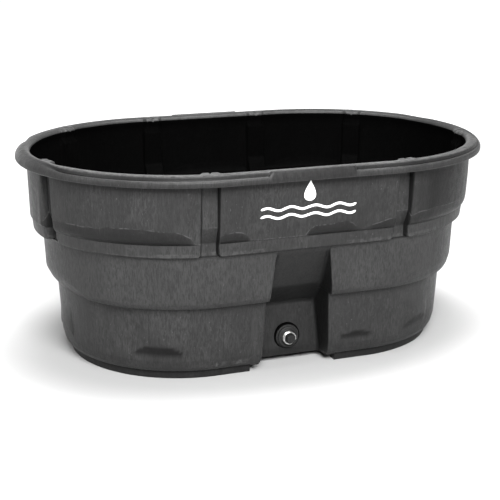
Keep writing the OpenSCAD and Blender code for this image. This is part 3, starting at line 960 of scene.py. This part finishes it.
# ---------------------------------------------------------------- drain fitting, y grows into the tank
G_T, FL_T = 3.0, 9.0
Y_FL = DRAIN_Y - G_T
Y_FACE = Y_FL - FL_T
Y_RING0 = Y_FACE - 12
Y_RING1 = Y_FL + 18
BOSS_IN = DRAIN_Y + 22
Y_NUT0 = BOSS_IN + G_T + 2
Y_NUT1 = Y_NUT0 + 14
Y_END = Y_NUT1 + 9
RING_R, BORE_R = 19.8, 16.05


def piece(name, v, f, mat, body, node, angle=38.0):
    ob = new_mesh(name, v, f, angle)
    ob.data.materials.append(mat)
    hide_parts(node)
    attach(ob, body)
    return ob


def threaded(r_out, r_in, y0, y1, pitch, height, n=72, inner=False):
    """Profile rows for a helical thread between y0 and y1 on radius r_out (crest) to r_out - height (root)."""
    rows_n = int((y1 - y0) / pitch * 8)
    t = np.linspace(0, 2 * np.pi, n, endpoint=False)
    ys = np.linspace(y0, y1, rows_n + 1)
    V = []
    for y in ys:
        ph = ((y - y0) / pitch - t / (2 * np.pi)) % 1.0
        tri = np.clip((0.5 - np.abs(ph - 0.5)) * 3.2 - 0.3, 0, 1)
        fade = min(1.0, (y - y0) / pitch * 0.9, (y1 - y) / pitch * 0.9)
        r = (r_in if inner else r_out) + (1 if inner else -1) * height * tri * max(fade, 0.0)
        V.append(np.stack([r * np.cos(t), np.full(n, y), r * np.sin(t) + DRAIN_Z], -1))
    return np.array(V)


def tube_from(rows_, closed=False):
    """Mesh from a list of rings of points."""
    R = np.array(rows_)
    m, n, _ = R.shape
    ix = np.arange(m * n).reshape(m, n)
    f = []
    for i in range(m - (0 if closed else 1)):
        j = (i + 1) % m
        for k in range(n):
            l = (k + 1) % n
            f.append((ix[i, k], ix[i, l], ix[j, l], ix[j, k]))
    return R.reshape(-1, 3), f


def circle_row(r, y, n=72):
    t = np.linspace(0, 2 * np.pi, n, endpoint=False)
    return np.stack([r * np.cos(t), np.full(n, y), r * np.sin(t) + DRAIN_Z], -1)


v, f = lathe_y(bevel_profile([(24.3, Y_FL), (36.5, Y_FL, 1.2), (36.5, DRAIN_Y, 1.2), (24.3, DRAIN_Y)], 0.4), 96)
piece("drain_gasket_outer", v, f, M_RUBBER, "tank", "outer_gasket")
v, f = lathe_y(bevel_profile([(24.3, BOSS_IN), (34.5, BOSS_IN, 1.2), (34.5, BOSS_IN + 3, 1.2), (24.3, BOSS_IN + 3)], 0.4), 96)
piece("drain_gasket_inner", v, f, M_RUBBER, "tank", "inner_gasket")
v, f = lathe_y(bevel_profile([(24.4, BOSS_IN + 3), (35, BOSS_IN + 3, 0.6), (35, Y_NUT0, 0.6), (24.4, Y_NUT0)], 0.3), 96)
piece("drain_slip_washer", v, f, M_WASHER, "tank", "slip_washer")

# barrel: flange with a raised outer land, recess round the bright ring, threaded tail
rows_ = [circle_row(16.55, Y_END), circle_row(22.3, Y_END), circle_row(22.6, Y_END - 0.3), circle_row(23.6, Y_END - 1.4)]
rows_ += list(threaded(24.0, 0, Y_FL + 26, Y_END - 1.5, 3.0, 1.0))[::-1]
rows_ += [circle_row(24.0, Y_FL + 25.5), circle_row(24.0, Y_FL + 0.6), circle_row(24.4, Y_FL), circle_row(32.2, Y_FL),
          circle_row(33.0, Y_FL - 0.8), circle_row(33.0, Y_FACE + 2.6), circle_row(32.6, Y_FACE + 1.4),
          circle_row(31.8, Y_FACE + 0.5), circle_row(30.6, Y_FACE), circle_row(28.6, Y_FACE), circle_row(28.1, Y_FACE + 0.3),
          circle_row(27.5, Y_FACE + 0.9), circle_row(26.0, Y_FACE + 1.0), circle_row(25.4, Y_FACE + 0.9), circle_row(24.6, Y_FACE + 0.3),
          circle_row(24.0, Y_FACE + 0.1), circle_row(23.3, Y_FACE + 0.5), circle_row(23.05, Y_FACE + 1.2), circle_row(23.05, Y_FACE + 5.6),
          circle_row(22.6, Y_FACE + 6), circle_row(20.2, Y_FACE + 6), circle_row(19.8, Y_FACE + 6.4), circle_row(19.8, Y_RING1),
          circle_row(16.8, Y_RING1), circle_row(16.55, Y_RING1 + 0.4)]
v, f = tube_from(rows_, closed=True)
piece("drain_barrel", v, f, M_FIT, "tank", "drain_body", 34)

# bright ring with a hose thread outside
rows_ = [circle_row(BORE_R, Y_RING1), circle_row(19.5, Y_RING1), circle_row(19.75, Y_RING1 - 0.4), circle_row(19.75, Y_RING0 + 11.6)]
rows_ += list(threaded(19.8, 0, Y_RING0 + 1.6, Y_RING0 + 11.0, 2.6, 1.1))[::-1]
rows_ += [circle_row(19.6, Y_RING0 + 0.9), circle_row(19.2, Y_RING0 + 0.3), circle_row(18.7, Y_RING0),
          circle_row(17.7, Y_RING0), circle_row(17.2, Y_RING0 + 0.25), circle_row(BORE_R + 0.3, Y_RING0 + 1.3), circle_row(BORE_R, Y_RING0 + 1.9)]
v, f = tube_from(rows_, closed=True)
piece("drain_bright_ring", v, f, M_METAL, "tank", "thread_ring", 34)


def poly_row(radii, y, n=96, rot=0.0):
    """A ring whose radius at each angle comes from a function of the angle."""
    t = np.linspace(0, 2 * np.pi, n, endpoint=False)
    r = radii(t - rot)
    return np.stack([r * np.cos(t), np.full(n, y), r * np.sin(t) + DRAIN_Z], -1)


def ngon(sides, flat, corner):
    """Radius function of a regular polygon with its corners rounded to radius corner."""
    def fn(t):
        w = 2 * np.pi / sides
        a_ = (np.asarray(t) + w / 2) % w - w / 2
        return np.minimum(flat / np.cos(a_), corner)
    return fn


# hexagon lock nut
nut = []
FH = 32.6
prof = [(0.0, 24.05, 0), (0.0, 30.6, 0), (0.4, 33.6, 1), (2.4, 37.4, 1), (2.8, 37.7, 1), (11.2, 37.7, 1), (11.6, 37.4, 1), (13.6, 33.6, 1), (14.0, 30.6, 0), (14.0, 26.4, 0), (13.4, 25.2, 0), (12.6, 24.05, 0)]
for dy, r, hexed in prof:
    y = Y_NUT0 + dy
    if hexed:
        fn = ngon(6, FH - (0.5 if dy < 1 or dy > 13 else 0.0), r)
        nut.append(poly_row(fn, y, 144, math.radians(30)))
    else:
        nut.append(poly_row(lambda t, r=r: np.full_like(np.asarray(t), r), y, 144))
v, f = tube_from(nut, closed=True)
piece("drain_lock_nut", v, f, M_FIT, "tank", "lock_nut", 30)

# plug: square head, shank with a thread, seal groove and hollow end
Y_PF = Y_RING0 + 3
Y_PE = Y_PF + 27
Y_OG = Y_PE - 7
SH = 16.0
HEAD = ngon(4, 12.0, 15.2)
plug = []
for dy, kflat, kcor in [(-17.0, 8.6, 11.4), (-16.9, 9.2, 12.0), (-16.4, 11.3, 14.1), (-16.0, 11.8, 14.7), (-15.4, 12.0, 15.0), (-9, 12.0, 15.2), (-3, 12.0, 15.2), (-1.2, 12.0, 15.2), (-0.5, 12.3, 15.4)]:
    plug.append(poly_row(ngon(4, kflat, kcor), Y_PF + dy, 72, 0.0))
plug += [circle_row(15.0, Y_PF - 0.02), circle_row(15.7, Y_PF + 0.15), circle_row(15.95, Y_PF + 0.5), circle_row(SH, Y_PF + 1.0), circle_row(SH, Y_PF + 1.6)]
plug += list(threaded(SH, 0, Y_PF + 2.0, Y_OG - 2.2, 4.0, 1.3))
plug += [circle_row(SH, Y_OG - 1.6), circle_row(SH - 0.15, Y_OG - 1.05), circle_row(14.1, Y_OG - 1.03), circle_row(14.0, Y_OG - 0.9),
         circle_row(14.0, Y_OG + 0.9), circle_row(14.1, Y_OG + 1.03), circle_row(SH - 0.15, Y_OG + 1.05), circle_row(SH, Y_OG + 1.4),
         circle_row(SH, Y_PE - 2.2), circle_row(15.8, Y_PE - 1.5), circle_row(14.8, Y_PE - 0.2), circle_row(14.4, Y_PE),
         circle_row(11.4, Y_PE), circle_row(11.0, Y_PE - 0.4), circle_row(10.9, Y_PE - 11.4), circle_row(10.3, Y_PE - 12),
         circle_row(3.0, Y_PE - 12), circle_row(0.3, Y_PE - 12)]
v, f = tube_from(plug)
nrow = 72
v = np.concatenate([v, [[0, Y_PF - 17.0 + 0.6, DRAIN_Z]], [[0, Y_PE - 12, DRAIN_Z]]])
base_i = len(v) - 2
# shallow dished face of the head
dish = [(7.4, 0.0), (6.8, 0.35), (6.0, 0.6)]
rings_ = [poly_row(ngon(4, r_, r_ * 1.25), Y_PF - 17.0 + d_, 72, 0.0) for r_, d_ in dish]
off = len(v)
v = np.concatenate([v] + rings_)
f = [tuple(x) for x in f]
prev = 0
for ri in range(len(rings_)):
    cur = off + ri * nrow
    for k in range(nrow):
        l = (k + 1) % nrow
        f.append((cur + k, cur + l, prev + l, prev + k))
    prev = cur
for k in range(nrow):
    f.append((base_i, prev + (k + 1) % nrow, prev + k))
last = (len(plug) - 1) * nrow
for k in range(nrow):
    f.append((base_i + 1, last + k, last + (k + 1) % nrow))
piece("drain_plug_square", v, f, M_PLUG, "plug", "drain_plug", 34)

t = np.linspace(0, 2 * np.pi, 20, endpoint=False)
v, f = lathe_y([(BORE_R - 0.05 - 0.98 + 0.98 * math.cos(x), Y_OG + 0.98 * math.sin(x)) for x in t], 96)
piece("plug_seal_ring", v, f, M_RUBBER, "plug_seal", "plug_o_ring", 80)

# normals outwards on every new piece
for ob in list(bpy.data.objects):
    if ob.type == "MESH" and ob.name in ("tank_moulding", "drain_gasket_outer", "drain_gasket_inner", "drain_slip_washer",
                                         "drain_barrel", "drain_bright_ring", "drain_lock_nut", "drain_plug_square", "plug_seal_ring",
                                         "printed_mark"):
        import bmesh
        bm = bmesh.new()
        bm.from_mesh(ob.data)
        bmesh.ops.recalc_face_normals(bm, faces=bm.faces)
        bm.to_mesh(ob.data)
        bm.free()

# ---------------------------------------------------------------- floor, light, camera
bpy.ops.mesh.primitive_plane_add(size=190, location=(0, 8, 0))
floor = bpy.context.object
floor.name = "studio_floor"
fm = Nodes("studio_floor_paint")
fm.bsdf.inputs["Roughness"].default_value = 0.75
fm.bsdf.inputs["Specular IOR Level"].default_value = 0.1
fm.link(fm.mix(fm.ramp(fm.noise((0.8, 0.8, 0.8), 3.0, 0.5), 0.3, 0.7), (0.385, 0.385, 0.385, 1), (0.40, 0.40, 0.40, 1)), fm.bsdf.inputs["Base Color"])
ftc = fm.new("ShaderNodeTexCoord")
fsep = fm.new("ShaderNodeSeparateXYZ")
fm.link(ftc.outputs["Object"], fsep.inputs[0])
fm.bsdf.inputs["Emission Color"].default_value = (1, 1, 1, 1)
# the sheet is centred at y = 8; it glows by emission, painted light, more strongly away from the object so that the far
# floor reads evenly white
fmap = fm.new("ShaderNodeMapping")
fmap.inputs["Location"].default_value = (0.0, 8.0, 0.0)
fmap.inputs["Scale"].default_value = (0.68, 1.0, 1.0)
fm.link(ftc.outputs["Object"], fmap.inputs["Vector"])
flen = fm.new("ShaderNodeVectorMath", operation="LENGTH")
fm.link(fmap.outputs["Vector"], flen.inputs[0])
glow = fm.math("MAXIMUM", fm.ramp(fsep.outputs["Y"], -7.2, -4.4, 0.0, 1.0), fm.ramp(flen.outputs["Value"], 2.6, 5.5, 0.0, 1.0))
# painted light: rings of glow close round the object fill in its shadow on the sheet
glow = fm.math("MAXIMUM", glow, fm.ramp(flen.outputs["Value"], 0.45, 0.66, 0.0, 0.34))
glow = fm.math("MAXIMUM", glow, fm.ramp(flen.outputs["Value"], 0.85, 2.4, 0.0, 0.62))
fm.link(glow, fm.bsdf.inputs["Emission Strength"])
floor.data.materials.append(fm.m)

world = bpy.data.worlds.new("studio")
bpy.context.scene.world = world
world.use_nodes = True
world.node_tree.nodes["Background"].inputs["Color"].default_value = (1, 1, 1, 1)
# white just over the horizon, so that the sheet has no visible end; dimmer above
wt = world.node_tree
w_tc, w_sep, w_map = (wt.nodes.new(k_) for k_ in ("ShaderNodeTexCoord", "ShaderNodeSeparateXYZ", "ShaderNodeMapRange"))
w_map.inputs["From Min"].default_value = 0.06
w_map.inputs["From Max"].default_value = 0.14
w_map.inputs["To Min"].default_value = 1.0
w_map.inputs["To Max"].default_value = 0.17
wt.links.new(w_tc.outputs["Generated"], w_sep.inputs[0])
wt.links.new(w_sep.outputs["Z"], w_map.inputs["Value"])
wt.links.new(w_map.outputs["Result"], wt.nodes["Background"].inputs["Strength"])


def area(name, loc, target, size, power):
    li = bpy.data.lights.new(name, "AREA")
    li.shape = "RECTANGLE"
    li.size, li.size_y = size
    li.energy = power
    ob = bpy.data.objects.new(name, li)
    ob.location = loc
    ob.rotation_euler = (Vector(target) - Vector(loc)).to_track_quat("-Z", "Y").to_euler()
    bpy.context.scene.collection.objects.link(ob)
    return ob


area("top_soft", (0.2, 0.2, 3.2), (0, 0, 0.4), (2.8, 1.5), 225.0)
area("key_front", (-0.7, -4.3, 3.4), (0, 0, 0.3), (3.0, 2.2), 670.0)
area("left_high", (-3.9, -1.15, 1.7), (-0.6, -0.1, 0.5), (0.9, 1.2), 62.0)
area("right_high", (3.6, 2.4, 2.6), (0, 0, 0.45), (1.4, 1.6), 14.0)
area("back_sheet", (0.0, 7.0, 1.8), (0, 0, 0.6), (9.0, 3.2), 120.0)

cam_d = bpy.data.cameras.new("camera")
cam_d.lens = 83.97
cam_d.sensor_width = 36.0
cam_d.clip_end = 200
cam = bpy.data.objects.new("camera", cam_d)
bpy.context.scene.collection.objects.link(cam)
cam.matrix_world = Matrix(((0.93695402, 0.09362252, -0.33667786, -1.27054119),
                           (-0.34942976, 0.26203260, -0.89957643, -3.37425402),
                           (0.00399996, 0.96050702, 0.27822699, 1.31177321),
                           (0, 0, 0, 1)))
bpy.context.scene.camera = cam
bpy.context.scene.view_settings.view_transform = "Standard"
bpy.context.view_layer.update()
